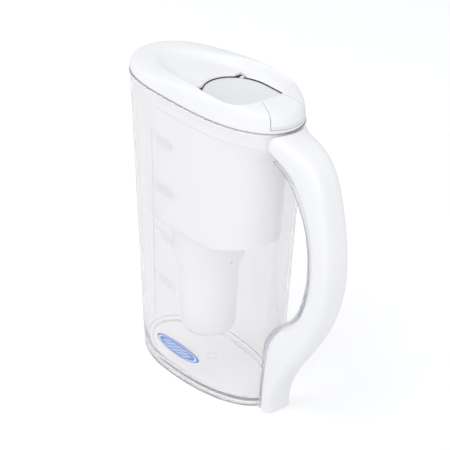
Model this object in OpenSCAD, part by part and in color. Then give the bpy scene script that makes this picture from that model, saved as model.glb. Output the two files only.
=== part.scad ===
// Oval water filter jug: clear body, white hooped handle, hanging reservoir with a
// filter cartridge, and a white lid with a sunken flip-up filling hatch.
// Millimetres. Z is up, the jug stands on Z = 0, the spout points to -X and the handle to +X.

/* [Jug body] */
// Height of the jug's rim above the table
jug_height = 265; // [240:1:285]
// Widest station to the spout tip, at the rim
spout_reach_top = 71; // [64:0.5:78]
// Widest station to the back, at the rim
rear_reach_top = 114.4; // [106:0.2:122]
// Half of the jug's width at the rim
half_width_top = 42.1; // [40:0.1:46]
// Widest station to the spout side, at the table
spout_reach_foot = 60.7; // [54:0.1:64]
// Widest station to the back, at the table
rear_reach_foot = 97.5; // [92:0.5:104]
// Half of the jug's width at the table
half_width_foot = 39.6; // [38:0.1:40]
// Fullness of the spout end at the rim (2 is an ellipse, more is blunter)
spout_fullness_top = 2.7; // [2.2:0.1:3.2]
// Fullness of the spout end at the table
spout_fullness_foot = 1.8; // [1.6:0.1:2.4]
// Fullness of the handle end at the rim
rear_fullness_top = 3.26; // [2.6:0.02:3.6]
// Fullness of the handle end at the table
rear_fullness_foot = 2.5; // [2.2:0.1:3]
// Thickness of the clear wall
jug_wall = 2.6; // [2:0.1:3.2]
// Thickness of the jug's floor above the table
jug_floor = 7; // [5:0.5:9]
// Height of the foot plinth
plinth_height = 4.2; // [3.5:0.1:4.6]
// Depth of the groove above the plinth
plinth_groove = 1.2; // [0.6:0.1:1.8]
// Height of the bead under the rim
bead_height = 3.4; // [2.4:0.1:4.5]
// How far the bead stands out of the wall
bead_proud = 0.8; // [0.4:0.1:1.4]
// Width of the land that the jug stands on
foot_land = 7; // [5:0.5:10]
// Depth of the hollow under the floor
foot_hollow = 1.5; // [1:0.1:2.5]

/* [Label] */
// Length of the oval label
label_length = 55; // [44:1:60]
// Height of the oval label
label_height = 18.6; // [14:0.2:22]
// Height of the label's middle above the table
label_z = 33; // [28:0.5:40]
// Label's middle behind the widest station
label_x = 20; // [10:1:30]
// Thickness of the label
label_thick = 0.4; // [0.3:0.05:0.6]

/* [Reservoir] */
// Depth of the reservoir below the rim
reservoir_depth = 122; // [112:1:124]
// Thickness of the reservoir's wall
reservoir_wall = 1.8; // [1.4:0.1:2.2]
// Thickness of the reservoir's floor
reservoir_floor = 2.4; // [2:0.1:3]
// Gap between the reservoir's top band and the jug's wall
reservoir_gap = 0.5; // [0.4:0.1:0.9]
// Step from the top band in to the reservoir's side
reservoir_step = 1; // [0.6:0.1:1.4]
// Height of the reservoir's top band
reservoir_band = 15; // [12:0.5:19]
// How far the reservoir stays back from the spout, for pouring
pour_channel = 13; // [10:0.5:16]
// How far the reservoir's back stays in from the jug's back
rear_setback = 12; // [8:0.5:14]
// Rise of the reservoir's floor towards the handle, for each millimetre
floor_slope = 0.26; // [0.16:0.02:0.3]
// Thickness of the flange on the rim
flange_thick = 0.9; // [0.7:0.1:1.2]
// How far the flange's edge stays in from the jug's outside
flange_inset = 1.2; // [0.8:0.1:1.6]

/* [Cartridge] */
// Cartridge axis behind the widest station
cartridge_x = 13.5; // [8:0.5:18]
// Radius of the cartridge at its flange
cartridge_r_top = 28; // [26:0.2:29]
// Radius of the cartridge near its foot
cartridge_r_foot = 23.5; // [22:0.5:25.5]
// Height of the cartridge's foot above the table
cartridge_low = 36; // [30:1:44]
// Wall of the cartridge housing
cartridge_wall = 1.6; // [1.2:0.1:2]
// Rounding of the cartridge's foot
cartridge_foot_round = 9; // [6:0.5:11]
// How far the cartridge's flange stands out
cartridge_flange = 5; // [4:0.2:6]
// Thickness of the cartridge's flange
cartridge_flange_thick = 2.4; // [2:0.1:3]
// Tube radius of the seal ring
seal_tube = 1.1; // [0.9:0.05:1.4]
// Height of the cartridge's domed cap
cap_height = 9; // [7:0.5:12]
// Number of inlet holes in the cap
cap_holes = 12; // [8:1:16]
// Radius of an inlet hole
cap_hole_r = 1.6; // [1:0.1:2]
// Thickness of each felt disc
felt_thick = 3; // [2:0.2:4]
// Depth of the carbon granules
carbon_depth = 42; // [34:1:44]
// Depth of the resin beads
resin_depth = 26; // [18:1:28]
// Radius of the outlet holes in the cartridge's foot
outlet_hole_r = 2.2; // [1.4:0.1:2.8]
// Number of outlet holes
outlet_holes = 8; // [6:1:10]

/* [Lid] */
// Height of the lid's highest crest above the rim
crest_rise = 19; // [18:0.5:20]
// How much lower the crest lies at the spout
crest_drop = 10; // [8:0.5:11]
// Wall of the lid
lid_wall = 2.2; // [1.8:0.1:2.6]
// Height of the straight band along the lid's lower edge
lid_band = 2; // [1.5:0.1:2.6]
// Depth of the lid's skirt inside the reservoir
skirt_depth = 8; // [6:0.5:11]
// Thickness of the skirt
skirt_wall = 1.6; // [1.2:0.1:2]
// Gap between the skirt and the reservoir
skirt_gap = 0.5; // [0.4:0.1:0.8]
// Half width of the sunken scoop
scoop_half = 34; // [32:0.2:35]
// Scoop's widest station, behind the jug's
scoop_x = 50; // [46:1:54]
// Scoop's widest station to its front point
scoop_front = 98; // [90:1:102]
// Scoop's widest station to its straight rear edge
scoop_rear = 37.5; // [36.5:0.5:39]
// Depth of the scoop's floor under the crest
scoop_depth = 9.5; // [8.5:0.5:10.5]
// Half width of the pouring slot
pour_half = 10.5; // [8:0.5:11]
// Height of the pouring slot over the lid's lower edge
pour_height = 3.6; // [3:0.1:3.8]

/* [Flip hatch] */
// Half width of the hatch
hatch_half = 27; // [25:0.2:28]
// Widest station of the hatch, behind the jug's
hatch_x = 50; // [48:0.5:52]
// Length of the hatch in front of its widest station
hatch_front = 33; // [30:0.5:35]
// Length of the hatch behind its widest station
hatch_rear = 35; // [33:0.5:35]
// Thickness of the hatch plate
hatch_thick = 2.4; // [2:0.1:3]
// How deep the hatch's top lies below the scoop's floor
hatch_sunk = 2.6; // [2:0.1:3.2]
// Gap round the hatch
hatch_gap = 0.4; // [0.4:0.05:0.8]
// Half width of the thumb wedge at its front
wedge_half_front = 10.2; // [9:0.2:12]
// Half width of the thumb wedge at the back
wedge_half_back = 22; // [18:0.5:24]
// Hinge pin radius
pin_r = 0.8; // [0.7:0.05:1]
// Running clearance of the pin
pin_clearance = 0.06; // [0.03:0.01:0.09]
// Hinge axis behind the hatch's front tip
pin_back = 9; // [8:0.5:10]

/* [Handle] */
// Half width of the strap
strap_half = 13; // [11.5:0.5:15]
// Half width of the saddle against the jug
saddle_half = 19; // [17:0.5:22]
// Farthest reach of the strap behind the jug's rear rim
strap_reach = 57.5; // [52:0.5:62]
// Thickness of the clear liner inside the hoop
liner_thick = 3; // [2:0.1:3.2]
// How much narrower each side of the liner is than the cover
liner_setback = 1.5; // [1:0.1:2.5]
// Seating gap of the handle on the jug
seat_gap = 0.25; // [0.2:0.05:0.35]

/* [Hidden] */
$fn = 64;
ring_points = 64;
strap_points = 36;
centre_x = (rear_reach_top + strap_reach - spout_reach_top - bead_proud) / 2;
rim_z = jug_height;
lid_seat = 0.2;
flange_low = rim_z + 0.15;
flange_top = flange_low + flange_thick;
lid_low = flange_top + lid_seat;
band_top = lid_low + lid_band;
crest_z = rim_z + crest_rise;

// ---- closed plan curves -------------------------------------------------------------
// A plan curve is [middle x, reach to the front, reach to the back, half width,
// fullness of the front, fullness of the back].
function blend(a, b, t) = a + (b - a) * t;
function plan_value(c, p) =
    pow(abs(p.x - c[0]) / (p.x < c[0] ? c[1] : c[2]), p.x < c[0] ? c[4] : c[5])
    + pow(p.y / c[3], 2);
// How far along the ray from `from` in direction `d` the curve is met
function meet(c, from, d, low = 0, high = 3, left = 26) =
    left == 0 ? (low + high) / 2 :
    let (mid = (low + high) / 2)
    plan_value(c, from + d * mid) > 1 ? meet(c, from, d, low, mid, left - 1)
    : meet(c, from, d, mid, high, left - 1);
ray_from = [32, 0];
ray_long = 92;
ray_wide = 42;
function ray(i, n) = [ray_long * cos(360 * i / n), ray_wide * sin(360 * i / n)];
// Points of a plan curve, all seen along the same rays, so that rings line up
function plan_points(c, n = ring_points) =
    [for (i = [0 : n - 1]) ray_from + ray(i, n) * meet(c, ray_from, ray(i, n))];
function flat_ring(c, z) = [for (p = plan_points(c)) [p.x, p.y, z]];
function grown(c, by) = [c[0], c[1] + by, c[2] + by, c[3] + by, c[4], c[5]];

// The jug's outside at height z
function jug_plan(z) = let (t = z / jug_height) [0,
    blend(spout_reach_foot, spout_reach_top, t), blend(rear_reach_foot, rear_reach_top, t),
    blend(half_width_foot, half_width_top, t), blend(spout_fullness_foot, spout_fullness_top, t),
    blend(rear_fullness_foot, rear_fullness_top, t)];
function jug_ring(z, inset) = flat_ring(grown(jug_plan(z), -inset), z);
// The same, kept back from the spout for the pouring channel
function inner_plan(z, inset) = let (c = grown(jug_plan(z), -inset))
    [c[0], c[1] - pour_channel, c[2], c[3], c[4], c[5]];
function inner_ring(z, inset) = flat_ring(inner_plan(z, inset), z);
// Where the jug's back wall lies at a given y and z
function wall_x(y, z) = let (c = jug_plan(z)) c[2] * pow(1 - pow(y / c[3], 2), 1 / c[5]);

// ---- skins --------------------------------------------------------------------------
function side_faces(i, j, n) = [for (k = [0 : n - 1]) let (m = (k + 1) % n)
    each [[i * n + k, j * n + m, i * n + m], [i * n + k, j * n + k, j * n + m]]];
function middle(ring) = [for (a = [0 : 2])
    (min([for (p = ring) p[a]]) + max([for (p = ring) p[a]])) / 2];
// Rings joined from first to last, each end capped by triangles round its middle
module capped_skin(rings) {
    n = len(rings[0]);
    last = len(rings) - 1;
    low = n * (last + 1);
    polyhedron(points = concat([for (r = rings) each r], [middle(rings[0]), middle(rings[last])]),
        faces = concat(
            [for (k = [0 : n - 1]) [low, k, (k + 1) % n]],
            [for (i = [0 : last - 1]) each side_faces(i, i + 1, n)],
            [for (k = [0 : n - 1]) [low + 1, last * n + (k + 1) % n, last * n + k]]), convexity = 8);
}
// Rings joined from first to last and back to the first
module looped_skin(rings) {
    n = len(rings[0]);
    count = len(rings);
    polyhedron(points = [for (r = rings) each r],
        faces = [for (i = [0 : count - 1]) each side_faces(i, (i + 1) % count, n)],
        convexity = 10);
}
module placed() { translate([-centre_x, 0, 0]) children(); }
module on_cartridge() { placed() translate([cartridge_x, 0, 0]) children(); }

// ---- jug ----------------------------------------------------------------------------
wall_steps = 5;
wall_low = plinth_height + 2.2;
wall_high = rim_z - bead_height - 1.6;
edge_round = 0.9;
floor_fillet = 3;
module jug() color([0.86, 0.9, 0.93, 0.4]) placed() {
    outside = concat(
        [jug_ring(foot_hollow, foot_land + 1), jug_ring(0, foot_land), jug_ring(0, edge_round),
         jug_ring(edge_round, 0), jug_ring(plinth_height, 0),
         jug_ring(plinth_height + 0.6, plinth_groove), jug_ring(wall_low - 0.8, plinth_groove)],
        [for (i = [0 : wall_steps]) jug_ring(blend(wall_low, wall_high, i / wall_steps), 0)],
        [jug_ring(wall_high + 0.8, -bead_proud), jug_ring(rim_z - 0.8, -bead_proud),
         jug_ring(rim_z, -bead_proud + 0.7)]);
    inside = concat(
        [for (i = [wall_steps : -1 : 0])
            jug_ring(blend(jug_floor + floor_fillet, rim_z, i / wall_steps), jug_wall)],
        [jug_ring(jug_floor + floor_fillet * 0.3, jug_wall + floor_fillet * 0.3),
         jug_ring(jug_floor, jug_wall + floor_fillet)]);
    capped_skin(concat(outside, inside));
}

// ---- label --------------------------------------------------------------------------
module label() color([0.24, 0.42, 0.75]) placed() {
    margin = 2;
    low = label_z - label_height / 2 - margin;
    high = label_z + label_height / 2 + margin;
    lift = 0.05;
    intersection() {
        looped_skin([jug_ring(low, -lift), jug_ring(low, -lift - label_thick),
            jug_ring(high, -lift - label_thick), jug_ring(high, -lift)]);
        translate([label_x, 0, label_z]) rotate([90, 0, 0])
            linear_extrude(height = half_width_top + 10) polygon([for (i = [0 : 47])
                [label_length / 2 * cos(i * 7.5), label_height / 2 * sin(i * 7.5)]]);
    }
}

// ---- handle -------------------------------------------------------------------------
// Stations round the hoop: outer point, inner point (both x, z), half width,
// and how closely the outer and the inner side follow the jug's curved back.
// x is measured from the jug's back wall at the rim, z from the table.
out = strap_reach / 57.5;
slim = strap_half;
hoop = [
    [6.5 * out, 262, 0.6, 243.5, saddle_half - 2, 0.85, 0.9],
    [16.5 * out, 259.8, 3.6, 240, blend(slim, saddle_half, 0.55), 0.45, 0.5],
    [27.5 * out, 256, 10 * out, 233.5, blend(slim, saddle_half, 0.26), 0.15, 0.15],
    [36.3 * out, 249.5, 16 * out, 225.5, blend(slim, saddle_half, 0.1), 0, 0],
    [43 * out, 239, 21.8 * out, 216, blend(slim, saddle_half, 0.03), 0, 0],
    [48.2 * out, 225.5, 27.3 * out, 206, slim, 0, 0],
    [52 * out, 209, 32 * out, 194.5, slim, 0, 0],
    [55.5 * out, 191, 35.2 * out, 181, slim, 0, 0],
    [57.5 * out, 171.5, 36.5 * out, 166, slim, 0, 0],
    [57.3 * out, 152, 36.2 * out, 151, slim, 0, 0],
    [54.3 * out, 133, 33.6 * out, 136.5, slim, 0, 0],
    [48.8 * out, 114.5, 29.3 * out, 122, slim, 0, 0],
    [40.6 * out, 96, 22.6 * out, 108.5, slim, 0, 0],
    [31 * out, 79, 12.8 * out, 97.5, slim, 0, 0.1],
    [21 * out, 63, 1.6, 87.5, slim, 0, 0.4]];
// The foot: outer x and z, and the height on the wall of the inner side
foot = [[11.5, 49, 73], [3.5, 35, 55], [-2.5, 21.5, 34], [-5.5, 10, 15], [-5.4, 0, 0]];
hoop_scale = jug_height / 265;
// Each station: outer x and z, inner x and z, half width, follow outside and inside
function hoop_station(s) = [rear_reach_top + s[0], s[1] * hoop_scale,
    rear_reach_top + s[2], s[3] * hoop_scale, s[4], s[5], s[6]];
liner_gap = 0.3;
foot_seat = seat_gap + liner_thick + liner_gap;
function foot_station(s) = let (z = s[2] * hoop_scale)
    [rear_reach_top + s[0], s[1] * hoop_scale, wall_x(0, z) + foot_seat, z, slim, 0, 1];
saddle_low = rim_z - 17;
saddle_top = rim_z - 0.4;
saddle_seat = bead_proud + seat_gap + 0.7;
saddle_seat_low = seat_gap + 0.3;
marks = concat(
    [[wall_x(0, saddle_top) + saddle_seat, saddle_top,
      wall_x(0, saddle_low) + saddle_seat_low, saddle_low, saddle_half, 1, 1]],
    [for (s = hoop) hoop_station(s)], [for (s = foot) foot_station(s)]);
// A smooth run through the stations, one more station between each two of the hoop
function halfway(i) = (9 * (marks[i] + marks[i + 1]) - marks[i - 1] - marks[i + 2]) / 16;
cover_path = [for (i = [0 : len(marks) - 1]) each
    i > 0 && i < len(hoop) ? [marks[i], halfway(i)] : [marks[i]]];
strap_fullness = 4;
// How far a full oval of half size 1 lies from its middle at angle a
function oval_reach(a) = pow(pow(abs(cos(a)), strap_fullness) + pow(abs(sin(a)), strap_fullness),
    -1 / strap_fullness);
// One ring of the strap: a rounded oblong from the inner to the outer point
function strap_ring(s, half) = [for (i = [0 : strap_points - 1])
    let (a = -360 * i / strap_points, reach = oval_reach(a),
        t = (cos(a) * reach + 1) / 2, y = sin(a) * reach * half,
        x = blend(s[2], s[0], t), z = blend(s[3], s[1], t), follow = blend(s[6], s[5], t))
    [x + follow * (wall_x(y, z) - wall_x(0, z)), y, z]];
// The strap's ends are closed by triangles from side to side, as they may be curved and thin
function rungs(n) = let (h = n / 2, q = n / 4) concat(
    [for (i = [0 : q - 2]) each [[i, i + 1, h - i - 1], [i, h - i - 1, h - i]]],
    [[q - 1, q, q + 1], [h + q - 1, h + q, h + q + 1]],
    [for (i = [h : h + q - 2]) each [[i, i + 1, n + h - i - 1], [i, n + h - i - 1, (n + h - i) % n]]]);
module strap_skin(rings) {
    last = (len(rings) - 1) * strap_points;
    polyhedron(points = [for (r = rings) each r], faces = concat(
        rungs(strap_points), [for (i = [0 : len(rings) - 2]) each side_faces(i, i + 1, strap_points)],
        [for (f = rungs(strap_points)) [last + f[2], last + f[1], last + f[0]]]), convexity = 8);
}
module handle_cover() color([0.95, 0.95, 0.96]) placed()
    strap_skin([for (s = cover_path) strap_ring(s, s[4])]);

// The clear liner lies on the inner side of the hoop, and on the jug behind the foot
foot_starts = len(cover_path) - len(foot);
function inward(s) = let (d = [s[2] - s[0], s[3] - s[1]]) d / norm(d);
function liner_station(s, d) = let (near = liner_gap, far = liner_gap + liner_thick)
    [s[2] + d.x * near, s[3] + d.y * near, s[2] + d.x * far, s[3] + d.y * far, s[4], s[6], s[6]];
module handle_liner() color([0.84, 0.88, 0.92, 0.5]) placed()
    strap_skin([for (i = [1 : len(cover_path) - 1]) let (s = cover_path[i])
        strap_ring(liner_station(s, i < foot_starts ? inward(s) : [-1, 0]), s[4] - liner_setback)]);

// ---- reservoir ----------------------------------------------------------------------
reservoir_low = rim_z - reservoir_depth;
reservoir_floor_top = reservoir_low + reservoir_floor;
band_low = rim_z - reservoir_band;
band_inset = jug_wall + reservoir_gap;
side_inset = band_inset + reservoir_step;
reservoir_round = 4;
socket_gap = 0.6;
socket_depth = 32;
vent_r = 1.1;
vent_rise = 3.5;
socket_wall = 1.8;
// The back slopes out to the top band over this height
shelf_height = 14;
back_fuller = 0.6;
function side_plan(z, inset) = let (c = inner_plan(z, inset))
    [c[0], c[1], c[2] - rear_setback, c[3], c[4], c[5] + back_fuller];
function side_ring(z, inset) = flat_ring(side_plan(z, inset), z);
flank_low = reservoir_low + reservoir_round;
flank_high = band_low - shelf_height;
// Rings of the side from its foot up to the band
function side_rings(inset, from) = concat(
    [for (i = [0 : 2]) side_ring(blend(from, flank_high, i / 2), inset)], [inner_ring(band_low, inset)]);
slope_from = cartridge_x + cartridge_r_top + cartridge_flange;
// All that lies above the floor, level under the cartridge and rising towards the handle
module above_floor(low) {
    reach = 140;
    rotate([90, 0, 0]) linear_extrude(height = 2 * half_width_top, center = true) polygon([
        [-reach, low - floor_slope * (reach + slope_from)],
        [reach, low + floor_slope * (reach - slope_from)],
        [reach, rim_z + reservoir_band], [-reach, rim_z + reservoir_band]]);
}
module reservoir() color([0.95, 0.95, 0.96, 0.75]) placed() {
    lip = band_inset + reservoir_wall;
    bowl = side_inset + reservoir_wall;
    difference() {
        union() {
            intersection() {
                capped_skin(concat(
                    [side_ring(reservoir_low, side_inset + reservoir_round),
                     side_ring(reservoir_low + reservoir_round * 0.3, side_inset + reservoir_round * 0.3)],
                    side_rings(side_inset, flank_low),
                    [inner_ring(band_low + 1, band_inset), inner_ring(flange_low, band_inset),
                     flat_ring(inner_plan(rim_z, flange_inset), flange_low),
                     flat_ring(inner_plan(rim_z, flange_inset), flange_top)]));
                above_floor(reservoir_low);
            }
            translate([cartridge_x, 0, reservoir_low - socket_depth])
                cylinder(r = cartridge_r_top + socket_gap + socket_wall,
                    h = socket_depth + reservoir_floor / 2);
        }
        intersection() {
            capped_skin(concat(
                [side_ring(reservoir_floor_top, bowl + reservoir_round * 0.3)],
                side_rings(bowl, flank_low),
                [inner_ring(band_low + 1, lip), flat_ring(inner_plan(rim_z, lip), flange_top),
                 flat_ring(inner_plan(rim_z, lip), flange_top + 1)]));
            above_floor(reservoir_floor_top);
        }
        translate([cartridge_x, 0, reservoir_low - socket_depth - 1])
            cylinder(r = cartridge_r_top + socket_gap, h = socket_depth + reservoir_floor + 2);
        translate([cartridge_x + cartridge_r_top, 0, reservoir_low - socket_depth + vent_rise])
            rotate([0, 90, 0]) cylinder(r = vent_r, h = socket_wall * 2 + socket_gap, $fn = 24);
    }
}

// ---- cartridge ----------------------------------------------------------------------
seal_seat = 0.15;
flange_z = reservoir_floor_top + 2 * seal_seat + 2 * seal_tube;
housing_top = flange_z + cartridge_flange_thick;
base_height = cartridge_foot_round + 5;
housing_low = cartridge_low + base_height;
snug = 0.15;
function cartridge_r(z) = blend(cartridge_r_foot, cartridge_r_top,
    (z - housing_low) / (flange_z - housing_low));
module turned(points) { rotate_extrude($fn = 96) polygon(points); }
module cartridge_housing() color([0.93, 0.93, 0.95]) on_cartridge()
    turned([[cartridge_r_foot - cartridge_wall, housing_low], [cartridge_r_foot, housing_low],
        [cartridge_r_top, flange_z], [cartridge_r_top + cartridge_flange, flange_z],
        [cartridge_r_top + cartridge_flange, housing_top],
        [cartridge_r_top - cartridge_wall, housing_top], [cartridge_r_top - cartridge_wall, flange_z]]);

base_outer = cartridge_r_foot;
module cartridge_base() color([0.93, 0.93, 0.95]) on_cartridge() difference() {
    round_r = cartridge_foot_round;
    thick = cartridge_wall;
    top = housing_low - snug;
    union() {
        turned(concat([[0, cartridge_low]],
            [for (a = [-90 : 15 : 0]) [base_outer - round_r + round_r * cos(a),
                cartridge_low + round_r + round_r * sin(a)]],
            [[base_outer, top], [base_outer - thick, top]],
            [for (a = [0 : -15 : -90]) [base_outer - round_r + (round_r - thick) * cos(a),
                cartridge_low + round_r + (round_r - thick) * sin(a)]],
            [[0, cartridge_low + thick]]));
    }
    for (i = [0 : outlet_holes - 1]) rotate(i * 360 / outlet_holes)
        translate([base_outer * 0.45, 0, cartridge_low - 1])
            cylinder(r = outlet_hole_r, h = thick + 2, $fn = 32);
}

bed_gap = 0.3;
module bed(low, high) turned([[0, low], [cartridge_r(low) - cartridge_wall - bed_gap, low],
    [cartridge_r(high) - cartridge_wall - bed_gap, high], [0, high]]);
// The media are stacked from the top down, and the mineral beads take what is left
inlet_top = flange_z - 1;
inlet_low = inlet_top - felt_thick;
carbon_top = inlet_low - bed_gap;
carbon_low = carbon_top - carbon_depth;
upper_top = carbon_low - bed_gap;
upper_low = upper_top - felt_thick;
resin_top = upper_low - bed_gap;
resin_low = resin_top - resin_depth;
lower_top = resin_low - bed_gap;
lower_low = lower_top - felt_thick;
mineral_top = lower_low - bed_gap;
outlet_low = cartridge_low + cartridge_wall + bed_gap;
outlet_top = outlet_low + felt_thick;
mineral_low = outlet_top + bed_gap;
module inlet_felt() color([0.9, 0.9, 0.88]) on_cartridge() bed(inlet_low, inlet_top);
module carbon_bed() color([0.12, 0.12, 0.13]) on_cartridge() bed(carbon_low, carbon_top);
module upper_divider() color([0.9, 0.9, 0.88]) on_cartridge() bed(upper_low, upper_top);
module resin_bed() color([0.8, 0.62, 0.3]) on_cartridge() bed(resin_low, resin_top);
module lower_divider() color([0.9, 0.9, 0.88]) on_cartridge() bed(lower_low, lower_top);
foot_slope = base_outer - cartridge_foot_round;
module mineral_bed() color([0.72, 0.66, 0.6]) on_cartridge()
    turned([[0, mineral_low], [foot_slope, mineral_low],
        [base_outer - cartridge_wall - bed_gap - 1, cartridge_low + cartridge_foot_round],
        [base_outer - cartridge_wall - bed_gap, housing_low],
        [cartridge_r(mineral_top) - cartridge_wall - bed_gap, mineral_top], [0, mineral_top]]);
module outlet_felt() color([0.9, 0.9, 0.88]) on_cartridge()
    turned([[0, outlet_low], [foot_slope - 1, outlet_low], [foot_slope - 0.4, outlet_top],
        [0, outlet_top]]);

cap_r = cartridge_r_top + cartridge_flange - 2;
cap_low = housing_top + snug;
cap_wall = 1.6;
grip_r = 6;
grip_height = 7;
cap_hole_ring = cap_r * 0.62;
module cartridge_cap() color([0.94, 0.94, 0.95]) on_cartridge() difference() {
    union() {
        turned([[0, cap_low + cap_height - cap_wall], [cap_r * 0.72, cap_low + cap_height - 2 * cap_wall],
            [cap_r - cap_wall, cap_low], [cap_r, cap_low], [cap_r * 0.78, cap_low + cap_height - cap_wall],
            [0, cap_low + cap_height]]);
        translate([0, 0, cap_low + cap_height - cap_wall / 2]) cylinder(r = grip_r, h = grip_height);
    }
    for (i = [0 : cap_holes - 1]) rotate(i * 360 / cap_holes) translate([cap_hole_ring, 0, cap_low])
        cylinder(r = cap_hole_r, h = cap_height + 1, $fn = 24);
}
module cartridge_seal() color([0.2, 0.2, 0.21]) on_cartridge()
    rotate_extrude($fn = 96)
        translate([cartridge_r_top + cartridge_flange / 2 + 0.4, reservoir_floor_top + seal_seat + seal_tube])
            circle(r = seal_tube, $fn = 24);

// ---- lid ----------------------------------------------------------------------------
rim_plan = jug_plan(rim_z);
scoop_plan = [scoop_x, scoop_front, scoop_rear, scoop_half, 1.5, 6];
hatch_plan = [hatch_x, hatch_front, hatch_rear, hatch_half, 2, 8];
crest_fall_from = 40;
crest_fall_length = 90;
// 0 over the level back of the crest, 1 where it is lowest at the spout
function fallen(x) = let (t = max(0, min(1, (crest_fall_from - x) / crest_fall_length)))
    t * t * (3 - 2 * t);
function crest_at(x) = crest_z - crest_drop * fallen(x);
function crest_ring(c, drop) = [for (p = plan_points(c)) [p.x, p.y, crest_at(p.x) - drop]];
// The shoulder lies between the lid's side and the crest
function between(a, b, t, rise) = [for (i = [0 : ring_points - 1])
    blend(a[i], b[i], t) + [0, 0, rise]];
shoulder_drop = 4.4;
shoulder_drop_spout = 1.8;
function shoulder_ring(c) = [for (p = plan_points(c))
    [p.x, p.y, crest_at(p.x) - blend(shoulder_drop, shoulder_drop_spout, fallen(p.x))]];
scoop_floor_z = crest_z - scoop_depth;
hatch_top = scoop_floor_z - hatch_sunk;
hatch_low = hatch_top - hatch_thick;
hole_plan = grown(hatch_plan, hatch_gap);
hole_flare = 1.2;
// The scoop's floor falls gently towards its front point
scoop_fall = 0.25;
function floor_at(x) = scoop_floor_z - (crest_z - crest_at(x)) * scoop_fall;
function floor_ring(c, drop) = [for (p = plan_points(c)) [p.x, p.y, floor_at(p.x) - drop]];
scoop_floor_plan = [scoop_x, scoop_front * 0.68, scoop_rear - 0.5, scoop_half * 0.87, 1.8, 6];
floor_edge = scoop_floor_z - 0.2;
floor_under = scoop_floor_z - lid_wall;
edge_drop = 0.7;
// The ceiling of the pouring channel lifts towards the spout
pour_top = lid_low + pour_height;
function ceiling_at(x) = blend(band_top, pour_top, min(1, max(0, -x - 30) / 25));
function ceiling_ring(c) = [for (p = plan_points(c)) [p.x, p.y, ceiling_at(p.x)]];
function roof_ring(c, drop) = [for (p = plan_points(c))
    [p.x, p.y, max(crest_at(p.x) - drop, ceiling_at(p.x) + 0.3)]];
side_low = flat_ring(grown(rim_plan, 0.2), lid_low);
side_band = flat_ring(grown(rim_plan, 0.2), band_top);
side_top = shoulder_ring(grown(rim_plan, -1.4));
side_mid = between(side_band, side_top, 0.62, 0.6);
crest = crest_ring(grown(scoop_plan, 1), 0);
shoulder = between(side_top, crest, 0.5, 0.9);
scoop_edge = crest_ring(scoop_plan, edge_drop);
scoop_wall = between(scoop_edge, floor_ring(scoop_floor_plan, 0), 0.55, -0.8);
skirt_outer = band_inset + reservoir_wall + skirt_gap;
skirt_inner = skirt_outer + skirt_wall;
skirt_low = rim_z - skirt_depth;
module lid_body() {
    outside = [side_low, side_band, side_mid, side_top, shoulder, crest, scoop_edge, scoop_wall,
        floor_ring(scoop_floor_plan, 0), flat_ring(grown(hole_plan, hole_flare), floor_edge),
        flat_ring(hole_plan, floor_edge - hole_flare), flat_ring(hole_plan, floor_under)];
    inside = [floor_ring(grown(scoop_floor_plan, 0.8), lid_wall),
        between(crest_ring(grown(scoop_plan, 1.6), 0), floor_ring(scoop_floor_plan, 0), 0.5,
            -lid_wall),
        crest_ring(grown(scoop_plan, 1.6), lid_wall + 1.2),
        roof_ring(grown(rim_plan, -lid_wall - 1.6), shoulder_drop + lid_wall + 1),
        ceiling_ring(grown(rim_plan, -lid_wall)), ceiling_ring(inner_plan(rim_z, skirt_inner)),
        inner_ring(skirt_low, skirt_inner), inner_ring(skirt_low, skirt_outer),
        flat_ring(inner_plan(rim_z, skirt_outer), lid_low)];
    looped_skin(concat(outside, inside));
}

// The lid's outer form as one solid, to cut the thumb wedge from
module lid_form() {
    capped_skin([side_low, side_band, side_mid, side_top, shoulder, crest, scoop_edge,
        flat_ring(scoop_plan, lid_low + lid_wall)]);
}
wedge_front = scoop_x + scoop_rear;
wedge_low = band_top + 0.5;
wedge_back = rear_reach_top + 6;
wedge_gap = 0.6;
wedge_wall = 2;
wedge_tall = 40;
// Plan of the thumb wedge from station `from` back, drawn in by `by` on each side
module wedge_plan(by, from) linear_extrude(height = wedge_tall) polygon([
    [from, -wedge_half_front + by], [wedge_front, -wedge_half_front + by],
    [wedge_back, -wedge_half_back + by], [wedge_back, wedge_half_back - by],
    [wedge_front, wedge_half_front - by], [from, wedge_half_front - by]]);
// The riser joins the sunken plate to the wedge
riser = 2.4;
riser_x = wedge_front - 0.3;
tongue_half = wedge_half_front - wedge_gap;
tongue_x = hatch_x + hatch_rear - 1.5;

// The pin lies inside the plate's thickness, in a barrel that is flush with its top
knuckle_r = 1.6;
pin_x = hatch_x - hatch_front + pin_back;
pin_z = hatch_top - knuckle_r;
function hatch_half_at(x) = hatch_half * sqrt(1 - pow((hatch_x - x) / hatch_front, 2));
knuckle_half = hatch_half_at(pin_x) - 1;
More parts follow.
